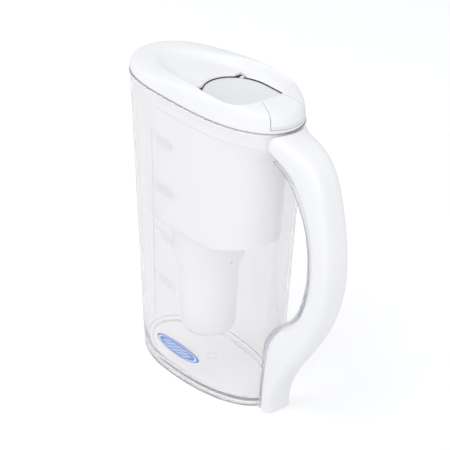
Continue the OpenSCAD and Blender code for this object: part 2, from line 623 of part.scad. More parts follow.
// The ears stand clear of the plate's edge as it swings past them
ear_low = hatch_half_at(pin_x + 1.6) + 0.6;
notch_half = hatch_half_at(pin_x + 6) + 0.5;
notch_ahead = 2.8;
notch_behind = 5.8;
ear_high = notch_half + 3;
web_setback = 0.3;
web_half = knuckle_r - web_setback;
module across(r, half) rotate([90, 0, 0]) cylinder(r = r, h = 2 * half, center = true, $fn = 48);
module ear() {
    translate([pin_x, (ear_low + ear_high) / 2, pin_z]) across(knuckle_r, (ear_high - ear_low) / 2);
    translate([pin_x - web_half, notch_half + web_setback, pin_z])
        cube([2 * web_half, ear_high - notch_half - 2 * web_setback, scoop_floor_z - 1 - pin_z]);
}
module lid_shell() color([0.95, 0.95, 0.96]) placed() difference() {
    union() {
        lid_body();
        ear();
        mirror([0, 1, 0]) ear();
    }
    translate([0, 0, band_top]) wedge_plan(0, hatch_x + hatch_rear * 0.8);
    translate([pin_x - notch_ahead, -notch_half, floor_under - 1])
        cube([notch_ahead + notch_behind, 2 * notch_half, lid_wall + 2]);
    translate([pin_x, 0, pin_z]) across(pin_r + pin_clearance, ear_high + 1);
    translate([-spout_reach_top - 5, -pour_half, lid_low - 1])
        cube([pour_channel + skirt_outer + 4, 2 * pour_half, pour_height + 1]);
}
module flip_lid() color([0.86, 0.86, 0.88]) placed() difference() {
    union() {
        translate([0, 0, hatch_low]) linear_extrude(height = hatch_thick)
            polygon(plan_points(hatch_plan));
        translate([pin_x, 0, pin_z]) across(knuckle_r, knuckle_half);
        translate([tongue_x, -tongue_half, hatch_low])
            cube([riser_x + riser - tongue_x, 2 * tongue_half, hatch_thick]);
        translate([riser_x, -tongue_half, hatch_low])
            cube([riser, 2 * tongue_half, crest_z - edge_drop - hatch_low]);
        difference() {
            intersection() {
                lid_form();
                translate([0, 0, wedge_low]) wedge_plan(wedge_gap, riser_x + riser - 0.5);
            }
            intersection() {
                translate([-wedge_wall, 0, -wedge_wall]) lid_form();
                translate([0, 0, wedge_low - 1]) wedge_plan(wedge_gap + wedge_wall, riser_x + riser);
            }
        }
    }
    translate([pin_x, 0, pin_z]) across(pin_r + pin_clearance, ear_low);
}
module flip_pin() color([0.75, 0.76, 0.78]) placed()
    translate([pin_x, 0, pin_z]) across(pin_r, ear_high - 0.3);

jug();
label();
handle_cover();
handle_liner();
reservoir();
cartridge_housing();
cartridge_base();
cartridge_cap();
cartridge_seal();
inlet_felt();
carbon_bed();
upper_divider();
resin_bed();
lower_divider();
mineral_bed();
outlet_felt();
lid_shell();
flip_lid();
flip_pin();
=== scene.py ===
# Water filter pitcher: the looks of the clear jug, its hanging reservoir, the filter
# cartridge, the hooped handle, the lid and its flip hatch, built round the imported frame.
import math

import bpy
import numpy as np
from mathutils import Matrix, Vector


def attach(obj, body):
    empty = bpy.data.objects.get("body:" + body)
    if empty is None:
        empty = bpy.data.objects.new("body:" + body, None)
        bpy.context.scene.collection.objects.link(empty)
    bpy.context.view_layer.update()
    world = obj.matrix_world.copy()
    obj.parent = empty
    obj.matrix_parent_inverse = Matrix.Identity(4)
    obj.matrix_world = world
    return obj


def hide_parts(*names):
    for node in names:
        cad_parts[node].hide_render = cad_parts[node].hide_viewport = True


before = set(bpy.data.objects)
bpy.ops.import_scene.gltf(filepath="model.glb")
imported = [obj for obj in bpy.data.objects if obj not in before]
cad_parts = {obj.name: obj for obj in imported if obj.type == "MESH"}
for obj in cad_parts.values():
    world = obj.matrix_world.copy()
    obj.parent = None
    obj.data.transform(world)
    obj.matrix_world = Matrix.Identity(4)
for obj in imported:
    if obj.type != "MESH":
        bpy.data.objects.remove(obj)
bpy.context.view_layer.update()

# ---- driving dimensions, in millimetres ----------------------------------------------
JUG_HEIGHT = 265.0
SPOUT_REACH = (60.7, 71.0)        # at the table and at the rim
REAR_REACH = (97.5, 114.4)
HALF_WIDTH = (39.6, 42.1)
SPOUT_FULLNESS = (1.8, 2.7)
REAR_FULLNESS = (2.5, 3.26)
JUG_WALL = 2.6
JUG_FLOOR = 7.0
PLINTH = 4.2
PLINTH_GROOVE = 1.2
BEAD_HEIGHT = 3.4
BEAD_PROUD = 0.8
FOOT_LAND = 7.0
FOOT_HOLLOW = 1.5
GATE_X, GATE_R = 18.9, (5.0, 4.0)   # the small ring that moulding leaves on the floor
GATE_RISE = 0.6

LABEL_SIZE = (55.0, 18.6)         # the clear film
LABEL_AT = (20.0, 33.0)
LABEL_THICK = 0.4
PRINT_SIZE = (53.4, 13.6)         # the blue oval printed on it
PRINT_AT = (19.8, 31.3)

RESERVOIR_DEPTH = 122.0
RESERVOIR_WALL = 1.8
RESERVOIR_FLOOR = 2.4
RESERVOIR_GAP = 0.5
RESERVOIR_STEP = 1.0
RESERVOIR_BAND = 15.0
RESERVOIR_ROUND = 4.0
REAR_SETBACK = 12.0               # of the reservoir's back, in from its band
BACK_FULLER = 0.6                 # added to the fullness of that back's curve
FLOOR_SLOPE = 0.26                # behind the cartridge
SHELF_HEIGHT = 14.0
SOCKET_DEPTH = 32.0
SOCKET_GAP = 0.6                  # round the cartridge
COLLAR_REACH = 2.4                # past the cartridge
VENT_R, VENT_RISE, VENT_LENGTH = 1.1, 3.5, 4.2
POUR_CHANNEL = 13.0
FLANGE_THICK = 0.9
FLANGE_INSET = 1.2

CARTRIDGE_X = 13.5
CARTRIDGE_R = 28.0
CARTRIDGE_FLANGE = 5.0

CREST_RISE = 19.0
CREST_DROP = 10.0
CREST_FALL = (40.0, 90.0)         # where it starts, and over what length
SHOULDER_DROP = (4.4, 1.8)        # at the back and at the spout
LID_WALL = 2.2
LID_BAND = 2.0
SKIRT_DEPTH = 8.0
SKIRT_WALL = 1.6
SKIRT_GAP = 0.5
SCOOP = dict(middle=50.0, front=98.0, rear=37.5, half=34.0, front_full=1.5, rear_full=6.0)
SCOOP_DEPTH = 9.5
SCOOP_FALL = 0.25
HATCH = dict(middle=50.0, front=33.0, rear=35.0, half=27.0, front_full=2.0, rear_full=8.0)
HATCH_GAP = 0.4
HATCH_SUNK = 2.6
HATCH_THICK = 2.4
HOLE_FLARE = 1.2
WEDGE_HALF = (10.2, 22.0)
WEDGE_GAP = 0.6
PIN_BACK = 9.0                    # from the hatch's front end
PIN_R = 0.8
PIN_GAP = 0.06
KNUCKLE_R = 1.6
NOTCH_AHEAD, NOTCH_BEHIND = 2.8, 5.8   # of the pin
POUR_HALF = 10.5
POUR_HEIGHT = 3.6

STRAP_HALF = 13.0
SADDLE_HALF = 19.0
STRAP_REACH = 57.5
LINER_THICK = 3.0
LINER_GAP = 0.3
LINER_SETBACK = 1.5
SEAT_GAP = 0.25

# Worked out from them
RIM = JUG_HEIGHT
CENTRE_X = (REAR_REACH[1] + STRAP_REACH - SPOUT_REACH[1] - BEAD_PROUD) / 2
FLANGE_LOW = RIM + 0.15
FLANGE_TOP = FLANGE_LOW + FLANGE_THICK
LID_LOW = FLANGE_TOP + 0.2
BAND_TOP = LID_LOW + LID_BAND
CREST = RIM + CREST_RISE
BAND_INSET = JUG_WALL + RESERVOIR_GAP
SIDE_INSET = BAND_INSET + RESERVOIR_STEP
SCOOP_FLOOR = CREST - SCOOP_DEPTH
HATCH_TOP = SCOOP_FLOOR - HATCH_SUNK
HATCH_LOW = HATCH_TOP - HATCH_THICK
PIN_X = HATCH["middle"] - HATCH["front"] + PIN_BACK
PIN_Z = HATCH_TOP - KNUCKLE_R
BORE_R = PIN_R + PIN_GAP


# ---- plan curves and skins --------------------------------------------------------------
COUNT = 96                        # points round a plan curve
RAY_FROM, RAY_SPREAD = 32.0, (92, 42)   # where a plan's rays start, and their stretch in x and y
SHARP_ANGLE = 35                  # degrees


def blend(a, b, t):
    return a + (b - a) * t


def metres(points):
    """Points in millimetres, x from the widest station, as metres in the shared frame."""
    p = np.asarray(points, float).reshape(-1, 3).copy()
    p[:, 0] -= CENTRE_X
    return p * 0.001


def grown(plan, by):
    return dict(plan, front=plan["front"] + by, rear=plan["rear"] + by, half=plan["half"] + by)


def jug_plan(z):
    t = z / JUG_HEIGHT
    return dict(middle=0.0, front=blend(*SPOUT_REACH, t), rear=blend(*REAR_REACH, t),
                half=blend(*HALF_WIDTH, t), front_full=blend(*SPOUT_FULLNESS, t),
                rear_full=blend(*REAR_FULLNESS, t))


def outline(plan, count):
    """The plan curve's points, all seen along the same rays so that rings line up."""
    turn = 2 * np.pi * np.arange(count) / count
    ray = np.stack([RAY_SPREAD[0] * np.cos(turn), RAY_SPREAD[1] * np.sin(turn)], 1)
    low, high = np.zeros(count), np.full(count, 3.0)
    for _ in range(40):
        middle = (low + high) / 2
        x = RAY_FROM + ray[:, 0] * middle - plan["middle"]
        y = ray[:, 1] * middle
        front = x < 0
        reach = np.where(front, plan["front"], plan["rear"])
        fullness = np.where(front, plan["front_full"], plan["rear_full"])
        out = (np.abs(x) / reach) ** fullness + (y / plan["half"]) ** 2 > 1
        high, low = np.where(out, middle, high), np.where(out, low, middle)
    return np.stack([RAY_FROM + ray[:, 0] * low, ray[:, 1] * low], 1)


def level(plan, z):
    """A ring of the plan curve at one height, or at a height for each point."""
    p = outline(plan, COUNT)
    return np.column_stack([p, z(p[:, 0]) if callable(z) else np.full(COUNT, float(z))])


def jug_ring(z, inset):
    return level(grown(jug_plan(z), -inset), z)


def inner_plan(z, inset):
    plan = grown(jug_plan(z), -inset)
    return dict(plan, front=plan["front"] - POUR_CHANNEL)


def inner_ring(z, inset):
    return level(inner_plan(z, inset), z)


def wall_x(y, z):
    """Where the jug's back wall lies."""
    plan = jug_plan(np.asarray(z, float))
    return plan["rear"] * (1 - (y / plan["half"]) ** 2) ** (1 / plan["rear_full"])


def wall_y(x, z):
    """Where the jug's near side wall lies, as a distance from the middle plane."""
    plan = jug_plan(np.asarray(z, float))
    front = np.asarray(x) < 0
    reach = np.where(front, plan["front"], plan["rear"])
    fullness = np.where(front, plan["front_full"], plan["rear_full"])
    return plan["half"] * np.sqrt(1 - (np.abs(x) / reach) ** fullness)


def between(a, b, t, rise=0.0):
    return a + (b - a) * t + np.array([0, 0, rise])


def smooth_mesh(piece):
    piece.data.shade_smooth()
    piece.data.set_sharp_from_angle(angle=math.radians(SHARP_ANGLE))


def settle(piece):
    """Bakes the piece's modifiers into its mesh."""
    seen = piece.evaluated_get(bpy.context.evaluated_depsgraph_get())
    mesh = bpy.data.meshes.new_from_object(seen)
    piece.modifiers.clear()
    old, piece.data = piece.data, mesh
    bpy.data.meshes.remove(old)
    mesh.name = piece.name


def new_piece(name, points, faces):
    mesh = bpy.data.meshes.new(name)
    mesh.from_pydata([tuple(p) for p in points], [], faces)
    mesh.validate()
    mesh.update()
    piece = bpy.data.objects.new(name, mesh)
    bpy.context.collection.objects.link(piece)
    return piece


def skin(name, rings, looped=False, crease=()):
    """Rings joined into one rounded surface, looped back to the first or capped at both ends."""
    count, total = len(rings[0]), len(rings)
    points = metres(np.concatenate(rings))
    faces = []
    for i in range(total if looped else total - 1):
        j = (i + 1) % total
        for k in range(count):
            m = (k + 1) % count
            faces.append((i * count + k, i * count + m, j * count + m, j * count + k))
    if not looped:
        faces.append(tuple(range(count - 1, -1, -1)))
        faces.append(tuple((total - 1) * count + k for k in range(count)))
    piece = new_piece(name, points, faces)
    if crease:
        hard = piece.data.attributes.new("crease_edge", "FLOAT", "EDGE")
        wanted = dict(crease)
        for edge in piece.data.edges:
            a, b = edge.vertices
            if a // count == b // count and a // count in wanted:
                hard.data[edge.index].value = wanted[a // count]
    rounding = piece.modifiers.new("rounding", "SUBSURF")
    rounding.levels = rounding.render_levels = 1
    settle(piece)
    smooth_mesh(piece)
    return piece


def cut(piece, *tools, how="DIFFERENCE"):
    """Cuts, joins or intersects a piece with other meshes, which are used up."""
    for tool in tools:
        step = piece.modifiers.new("cut", "BOOLEAN")
        step.operation, step.solver, step.object = how, "EXACT", tool
        settle(piece)
        bpy.data.objects.remove(tool)
    return piece


def prism(name, corners, low, high):
    """A straight prism over a plan polygon, in millimetres."""
    n = len(corners)
    points = [(x, y, low) for x, y in corners] + [(x, y, high) for x, y in corners]
    faces = [tuple(range(n - 1, -1, -1)), tuple(range(n, 2 * n))]
    faces += [(k, (k + 1) % n, n + (k + 1) % n, n + k) for k in range(n)]
    return new_piece(name, metres(points), faces)


def across(name, x, z, radius, low, high, sides=40):
    """A round bar along Y."""
    turn = 2 * np.pi * np.arange(sides) / sides
    circle = [(x + radius * math.cos(a), z + radius * math.sin(a)) for a in turn]
    points = [(u, low, w) for u, w in circle] + [(u, high, w) for u, w in circle]
    faces = [tuple(range(sides)), tuple(range(2 * sides - 1, sides - 1, -1))]
    faces += [(k, sides + k, sides + (k + 1) % sides, (k + 1) % sides) for k in range(sides)]
    return new_piece(name, metres(points), faces)


def bar_along_x(name, x, z, radius, length, sides=28):
    """A round bar along X from x on, on the middle plane."""
    turn = 2 * np.pi * np.arange(sides) / sides
    points = [(u, radius * math.cos(a), z + radius * math.sin(a)) for u in (x, x + length) for a in turn]
    faces = [tuple(range(sides - 1, -1, -1)), tuple(range(sides, 2 * sides))]
    faces += [(k, (k + 1) % sides, sides + (k + 1) % sides, sides + k) for k in range(sides)]
    return new_piece(name, metres(points), faces)


def soften(piece, width, angle):
    """Rounds a piece's sharp edges a little, as a moulding has them."""
    step = piece.modifiers.new("round", "BEVEL")
    step.width, step.segments = width * 0.001, 2
    step.limit_method, step.angle_limit = "ANGLE", math.radians(angle)
    settle(piece)
    smooth_mesh(piece)


# ---- materials --------------------------------------------------------------------------
def feed(tree, socket, value):
    """Links another node's result to a socket, or sets a plain value on it."""
    if isinstance(value, bpy.types.NodeSocket):
        tree.links.new(value, socket)
    else:
        socket.default_value = value


def maths(tree, operation, *values):
    step = tree.nodes.new("ShaderNodeMath")
    step.operation = operation
    for i, value in enumerate(values):
        feed(tree, step.inputs[i], value)
    return step.outputs["Value"]


def vectors(tree, operation, *values):
    step = tree.nodes.new("ShaderNodeVectorMath")
    step.operation = operation
    for i, value in enumerate(values):
        feed(tree, step.inputs[i], value)
    return step.outputs["Value" if operation == "LENGTH" else "Vector"]


def ranged(tree, value, start, end, to_start=0.0, to_end=1.0):
    """A value from start to end, carried over to the stretch from to_start to to_end."""
    step = tree.nodes.new("ShaderNodeMapRange")
    for label, limit in (("From Min", start), ("From Max", end), ("To Min", to_start), ("To Max", to_end)):
        step.inputs[label].default_value = limit
    tree.links.new(value, step.inputs["Value"])
    return step.outputs["Result"]


def mixed(tree, factor, first, second):
    """Two colours, mixed."""
    step = tree.nodes.new("ShaderNodeMix")
    step.data_type = "RGBA"
    for label, value in (("Factor", factor), ("A", first), ("B", second)):
        feed(tree, step.inputs[label], value)
    return step.outputs["Result"]


def show_mix(tree, output, factor, first, second):
    """Sends two shaders, mixed, to the output."""
    mix = tree.nodes.new("ShaderNodeMixShader")
    for i, result in enumerate((factor, first, second)):
        tree.links.new(result, mix.inputs[i])
    tree.links.new(mix.outputs["Shader"], output.inputs["Surface"])


def seen_ray(tree):
    """1 on rays from the camera, also behind clear plastic."""
    path = tree.nodes.new("ShaderNodeLightPath")
    return maths(tree, "MAXIMUM", path.outputs["Is Camera Ray"], path.outputs["Is Transmission Ray"])


def group(name, inputs, outputs):
    """An empty shader node group with named inputs and outputs."""
    tree = bpy.data.node_groups.new(name, "ShaderNodeTree")
    for label, kind, value in inputs:
        socket = tree.interface.new_socket(label, in_out="INPUT", socket_type=kind)
        if value is not None:
            socket.default_value = value
    for label, kind in outputs:
        tree.interface.new_socket(label, in_out="OUTPUT", socket_type=kind)
    return tree, tree.nodes.new("NodeGroupInput"), tree.nodes.new("NodeGroupOutput")


GRAIN_SHARE = 0.25                # of the pitting in a moulding's relief
GRAIN_TINT = 0.18                 # how far packed grains differ in colour


def moulding_group():
    """Slow flow marks and fine pitting of a moulded surface: colour, roughness, height."""
    tree, given, made = group(
        "moulded_surface",
        [("Colour", "NodeSocketColor", (0.8, 0.8, 0.8, 1)), ("Shade", "NodeSocketColor", (0.7, 0.7, 0.7, 1)),
         ("Roughness", "NodeSocketFloat", 0.3), ("Variation", "NodeSocketFloat", 0.06),
         ("Grain size", "NodeSocketFloat", 900.0), ("Flow size", "NodeSocketFloat", 18.0)],
        [("Colour", "NodeSocketColor"), ("Roughness", "NodeSocketFloat"), ("Height", "NodeSocketFloat")])
    link, node = tree.links.new, tree.nodes.new
    place = node("ShaderNodeTexCoord")
    flow = node("ShaderNodeTexNoise")
    flow.inputs["Detail"].default_value = 3
    flow.inputs["Roughness"].default_value = 0.45
    link(place.outputs["Object"], flow.inputs["Vector"])
    link(given.outputs["Flow size"], flow.inputs["Scale"])
    grain = node("ShaderNodeTexNoise")
    grain.inputs["Detail"].default_value = 2
    link(place.outputs["Object"], grain.inputs["Vector"])
    link(given.outputs["Grain size"], grain.inputs["Scale"])
    spread = ranged(tree, flow.outputs["Fac"], 0.35, 0.75)
    link(mixed(tree, spread, given.outputs["Colour"], given.outputs["Shade"]), made.inputs["Colour"])
    swing = maths(tree, "MULTIPLY_ADD", flow.outputs["Fac"], given.outputs["Variation"],
                  given.outputs["Roughness"])
    link(swing, made.inputs["Roughness"])
    relief = maths(tree, "MULTIPLY_ADD", grain.outputs["Fac"], GRAIN_SHARE, flow.outputs["Fac"])
    link(relief, made.inputs["Height"])
    return tree


def bead_group():
    """Packed round grains: colour, roughness and height."""
    tree, given, made = group(
        "packed_grains",
        [("Colour", "NodeSocketColor", (0.5, 0.5, 0.5, 1)), ("Gap", "NodeSocketColor", (0.1, 0.1, 0.1, 1)),
         ("Scale", "NodeSocketFloat", 900.0)],
        [("Colour", "NodeSocketColor"), ("Roughness", "NodeSocketFloat"), ("Height", "NodeSocketFloat")])
    link, node = tree.links.new, tree.nodes.new
    place = node("ShaderNodeTexCoord")
    cells = node("ShaderNodeTexVoronoi")
    link(place.outputs["Object"], cells.inputs["Vector"])
    link(given.outputs["Scale"], cells.inputs["Scale"])
    edge = ranged(tree, cells.outputs["Distance"], 0.25, 0.75)
    tint = mixed(tree, GRAIN_TINT, given.outputs["Colour"], cells.outputs["Color"])
    link(mixed(tree, edge, tint, given.outputs["Gap"]), made.inputs["Colour"])
    link(ranged(tree, cells.outputs["Distance"], 0, 1, 0.35, 0.9), made.inputs["Roughness"])
    link(maths(tree, "SUBTRACT", 1.0, edge), made.inputs["Height"])
    return tree


MOULDED = moulding_group()
GRAINS = bead_group()


def material(name):
    """A new material with its shader and output."""
    made = bpy.data.materials.new(name)
    made.use_nodes = True
    tree = made.node_tree
    tree.nodes.clear()
    shader = tree.nodes.new("ShaderNodeBsdfPrincipled")
    output = tree.nodes.new("ShaderNodeOutputMaterial")
    tree.links.new(shader.outputs["BSDF"], output.inputs["Surface"])
    return made, tree, shader, output


def surface(tree, shader, effect, bump, depth, **values):
    """Places a shared effect in a material and feeds the shader from it."""
    made = tree.nodes.new("ShaderNodeGroup")
    made.node_tree = effect
    for label, value in values.items():
        made.inputs[label.replace("_", " ")].default_value = value
    tree.links.new(made.outputs["Colour"], shader.inputs["Base Color"])
    tree.links.new(made.outputs["Roughness"], shader.inputs["Roughness"])
    relief = tree.nodes.new("ShaderNodeBump")
    relief.inputs["Strength"].default_value = bump
    relief.inputs["Distance"].default_value = depth
    tree.links.new(made.outputs["Height"], relief.inputs["Height"])
    tree.links.new(relief.outputs["Normal"], shader.inputs["Normal"])


def white_moulding(name, colour, shade, roughness, coat=0.0, glow=0.0):
    made, tree, shader, _ = material(name)
    surface(tree, shader, MOULDED, 0.12, 0.0004, Colour=(*colour, 1), Shade=(*shade, 1), Roughness=roughness)
    shader.inputs["IOR"].default_value = 1.49
    shader.inputs["Coat Weight"].default_value = coat
    shader.inputs["Coat Roughness"].default_value = 0.12
    shader.inputs["Subsurface Weight"].default_value = glow
    shader.inputs["Subsurface Radius"].default_value = (1.0, 1.0, 1.0)
    shader.inputs["Subsurface Scale"].default_value = 0.003
    return made


def clear_moulding(name, colour, roughness, clearness):
    """Clear plastic that lets the light through to what stands behind it."""
    made, tree, shader, output = material(name)
    surface(tree, shader, MOULDED, 0.012, 0.0003, Colour=(*colour, 1), Shade=(*colour, 1),
            Roughness=roughness, Variation=0.02, Grain_size=400.0, Flow_size=12.0)
    shader.inputs["Transmission Weight"].default_value = clearness
    shader.inputs["IOR"].default_value = 1.46
    path = tree.nodes.new("ShaderNodeLightPath")
    lit = maths(tree, "MAXIMUM", path.outputs["Is Shadow Ray"], path.outputs["Is Diffuse Ray"])
    open_way = tree.nodes.new("ShaderNodeBsdfTransparent")
    show_mix(tree, output, lit, shader.outputs["BSDF"], open_way.outputs["BSDF"])
    return made


def packed_medium(name, colour, gap, scale):
    made, tree, shader, _ = material(name)
    surface(tree, shader, GRAINS, 0.6, 0.0006, Colour=(*colour, 1), Gap=(*gap, 1), Scale=scale)
    return made


def felt_pad(name):
    made, tree, shader, _ = material(name)
    surface(tree, shader, GRAINS, 0.35, 0.0003, Colour=(0.86, 0.86, 0.83, 1), Gap=(0.72, 0.72, 0.69, 1),
            Scale=2600.0)
    shader.inputs["Sheen Weight"].default_value = 0.3
    return made


def seal_rubber(name):
    made, tree, shader, _ = material(name)
    surface(tree, shader, MOULDED, 0.2, 0.0003, Colour=(0.035, 0.035, 0.038, 1),
            Shade=(0.055, 0.055, 0.06, 1), Roughness=0.55)
    return made


def drawn_steel(name):
    made, tree, shader, _ = material(name)
    surface(tree, shader, MOULDED, 0.15, 0.0001, Colour=(0.62, 0.63, 0.65, 1),
            Shade=(0.5, 0.51, 0.53, 1), Roughness=0.28, Grain_size=2400.0)
    shader.inputs["Metallic"].default_value = 1.0
    return made


WHITE = (0.89, 0.89, 0.9)
WHITE_SHADE = (0.865, 0.865, 0.88)
# Whiter than the outer white: painted light, lifted to make up for the light that the jug's walls hold back
# from the reservoir and the cartridge
INNER_WHITE_PAINTED_LIGHT = (0.97, 0.965, 0.975)
INNER_TONE_PAINTED_LIGHT = (0.95, 0.945, 0.96)
jug_clear = clear_moulding("clear_jug_plastic", (0.925, 0.918, 0.925), 0.02, clearness=0.88)
# The strip's own bluish tint, darkened as painted shade for the gap between the handle and the jug
liner_clear_painted_shade = clear_moulding("clear_strip_plastic", (0.83, 0.835, 0.89), 0.05, clearness=0.8)
handle_white = white_moulding("handle_white", WHITE, WHITE_SHADE, 0.34, coat=0.15)
lid_white = white_moulding("lid_white", WHITE, WHITE_SHADE, 0.36, coat=0.1)
# The hatch's plate is greyer than the lid: painted shade for its place sunk in the scoop
hatch_white_painted_shade = white_moulding("hatch_white_painted_shade", (0.8, 0.8, 0.82), (0.77, 0.77, 0.8), 0.42)
reservoir_white = white_moulding("reservoir_white", INNER_WHITE_PAINTED_LIGHT, INNER_TONE_PAINTED_LIGHT, 0.3, glow=0.3)
cartridge_white = white_moulding("cartridge_white", INNER_WHITE_PAINTED_LIGHT, INNER_TONE_PAINTED_LIGHT, 0.42)


def paint(piece, mat):
    piece.data.materials.clear()
    piece.data.materials.append(mat)


def finish_piece(piece, mat, body, node=None):
    """Paints a piece, seats it on its body and lets it stand for its frame node."""
    paint(piece, mat)
    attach(piece, body)
    if node:
        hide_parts(node)
    return piece


# ---- jug ----------------------------------------------------------------------------------
def make_jug():
    wall_low, wall_high = PLINTH + 2.2, RIM - BEAD_HEIGHT - 1.6
    rings = [jug_ring(FOOT_HOLLOW, FOOT_LAND + 20), jug_ring(FOOT_HOLLOW, FOOT_LAND + 1.4),
             jug_ring(FOOT_HOLLOW * 0.8, FOOT_LAND + 0.8), jug_ring(0, FOOT_LAND), jug_ring(0, 1.2),
             jug_ring(0.3, 0.3), jug_ring(1.0, 0), jug_ring(PLINTH - 0.3, 0), jug_ring(PLINTH, 0.2),
             jug_ring(PLINTH + 0.5, PLINTH_GROOVE), jug_ring(wall_low - 0.8, PLINTH_GROOVE),
             jug_ring(wall_low - 0.2, 0.3), jug_ring(wall_low + 0.4, 0)]
    rings += [jug_ring(blend(wall_low, wall_high, t), 0) for t in (0.03, 0.2, 0.4, 0.6, 0.8, 0.98)]
    rings += [jug_ring(wall_high, 0), jug_ring(wall_high + 0.6, -BEAD_PROUD + 0.1),
              jug_ring(wall_high + 1.0, -BEAD_PROUD), jug_ring(RIM - 0.9, -BEAD_PROUD),
              jug_ring(RIM - 0.2, -BEAD_PROUD + 0.3), jug_ring(RIM, -BEAD_PROUD + 0.8),
              jug_ring(RIM, JUG_WALL - 0.4), jug_ring(RIM - 0.4, JUG_WALL)]
    rings += [jug_ring(blend(JUG_FLOOR + 4, RIM, t), JUG_WALL) for t in (0.98, 0.8, 0.6, 0.4, 0.2, 0.03)]
    rings += [jug_ring(JUG_FLOOR + 2.2, JUG_WALL + 0.5), jug_ring(JUG_FLOOR + 0.7, JUG_WALL + 1.6),
              jug_ring(JUG_FLOOR, JUG_WALL + 3.6), jug_ring(JUG_FLOOR, JUG_WALL + 20)]
    piece = skin("jug_clear_body", rings)
    outer, inner = ([(GATE_X + r * math.cos(a), r * math.sin(a))
                     for a in 2 * np.pi * np.arange(48) / 48] for r in GATE_R)
    ring = prism("gate", outer, JUG_FLOOR - 0.5, JUG_FLOOR + GATE_RISE)
    cut(ring, prism("gate_inside", inner, JUG_FLOOR - 1, JUG_FLOOR + 1))
    cut(piece, ring, how="UNION")
    smooth_mesh(piece)
    return finish_piece(piece, jug_clear, "jug_body", "jug")


# ---- reservoir ------------------------------------------------------------------------------
def side_ring(z, inset):
    """A ring of the reservoir's side, which stays in from the jug's back."""
    plan = inner_plan(z, inset)
    rear, rear_full = plan["rear"] - REAR_SETBACK, plan["rear_full"] + BACK_FULLER
    return level(dict(plan, rear=rear, rear_full=rear_full), z)


def rim_ring(inset, z):
    """A ring of the rim's curve without the pouring channel, at any height."""
    return level(inner_plan(RIM, inset), z)


def above_floor(low):
    """All that lies above the floor: level under the cartridge, rising towards the handle."""
    reach, start = 140.0, CARTRIDGE_X + CARTRIDGE_R + CARTRIDGE_FLANGE
    ends = [(-reach, low - FLOOR_SLOPE * (reach + start)), (reach, low + FLOOR_SLOPE * (reach - start))]
    points = [(x, y, z) for y in (-60, 60) for x, z in ends + [(reach, RIM + 20), (-reach, RIM + 20)]]
    faces = [(0, 1, 2, 3), (7, 6, 5, 4)] + [(k, 4 + k, 4 + (k + 1) % 4, (k + 1) % 4) for k in range(4)]
    return new_piece("above_floor", metres(points), faces)


def round_plan(radius, sides=96):
    turn = 2 * np.pi * np.arange(sides) / sides
    return [(CARTRIDGE_X + radius * math.cos(a), radius * math.sin(a)) for a in turn]


def make_reservoir():
    low, band = RIM - RESERVOIR_DEPTH, RIM - RESERVOIR_BAND
    r, floor_top, foot = RESERVOIR_ROUND, low + RESERVOIR_FLOOR, low - SOCKET_DEPTH
    lip, bowl = BAND_INSET + RESERVOIR_WALL, SIDE_INSET + RESERVOIR_WALL
    high = band - SHELF_HEIGHT

    def sides(inset):
        return [side_ring(blend(low + r, high, t), inset) for t in (0.0, 0.05, 0.35, 0.65, 0.97)] + [
            side_ring(high + 0.5, inset), inner_ring(band - 0.6, inset), inner_ring(band, inset - 0.05)]

    rings = [side_ring(low, SIDE_INSET + 20), side_ring(low, SIDE_INSET + r),
             side_ring(low + 0.3 * r, SIDE_INSET + 0.3 * r)] + sides(SIDE_INSET)
    rings += [inner_ring(z, BAND_INSET) for z in (band + 1, band + 1.5, RIM - 0.2, FLANGE_LOW)]
    rings += [rim_ring(FLANGE_INSET + 0.1, FLANGE_LOW), rim_ring(FLANGE_INSET, FLANGE_LOW + 0.2),
              rim_ring(FLANGE_INSET, FLANGE_TOP - 0.2), rim_ring(FLANGE_INSET + 0.2, FLANGE_TOP),
              rim_ring(lip + 8, FLANGE_TOP)]
    piece = skin("reservoir_shell", rings)
    hollow = [side_ring(floor_top, bowl + 14), side_ring(floor_top, bowl + 3),
              side_ring(floor_top + 0.6, bowl + 1)] + sides(bowl)
    hollow += [inner_ring(band + 1, lip), rim_ring(lip, FLANGE_TOP - 0.2), rim_ring(lip, FLANGE_TOP + 3),
               rim_ring(lip + 8, FLANGE_TOP + 3)]
    inside = skin("hollow", hollow)
    cut(inside, above_floor(floor_top), how="INTERSECT")
    cut(piece, above_floor(low), how="INTERSECT")
    cut(piece, prism("collar", round_plan(CARTRIDGE_R + COLLAR_REACH), foot, low + 1.2), how="UNION")
    cut(piece, inside, prism("bore", round_plan(CARTRIDGE_R + SOCKET_GAP), foot - 1, floor_top + 1))
    cut(piece, bar_along_x("vent", CARTRIDGE_X + CARTRIDGE_R, foot + VENT_RISE, VENT_R, VENT_LENGTH))
    smooth_mesh(piece)
    return finish_piece(piece, reservoir_white, "reservoir_body", "reservoir")


# ---- lid --------------------------------------------------------------------------------------
RIM_PLAN = jug_plan(RIM)
HOLE = grown(HATCH, HATCH_GAP)
SCOOP_FLOOR_PLAN = dict(middle=SCOOP["middle"], front=SCOOP["front"] * 0.68, rear=SCOOP["rear"] - 0.5,
                        half=SCOOP["half"] * 0.87, front_full=1.8, rear_full=6.0)


def fallen(x):
    """0 where the crest is level at the back, 1 where it is lowest at the spout."""
    t = np.clip((CREST_FALL[0] - x) / CREST_FALL[1], 0, 1)
    return t * t * (3 - 2 * t)


def crest_at(x):
    return CREST - CREST_DROP * fallen(x)


def shoulder_at(x):
    return crest_at(x) - blend(*SHOULDER_DROP, fallen(x))


def crest_ring(plan, drop):
    return level(plan, lambda x: crest_at(x) - drop)


def floor_ring(plan, drop):
    return level(plan, lambda x: SCOOP_FLOOR - (CREST - crest_at(x)) * SCOOP_FALL - drop)


def ceiling(x):
    return blend(BAND_TOP, LID_LOW + POUR_HEIGHT, np.clip((-x - 30) / 25, 0, 1))


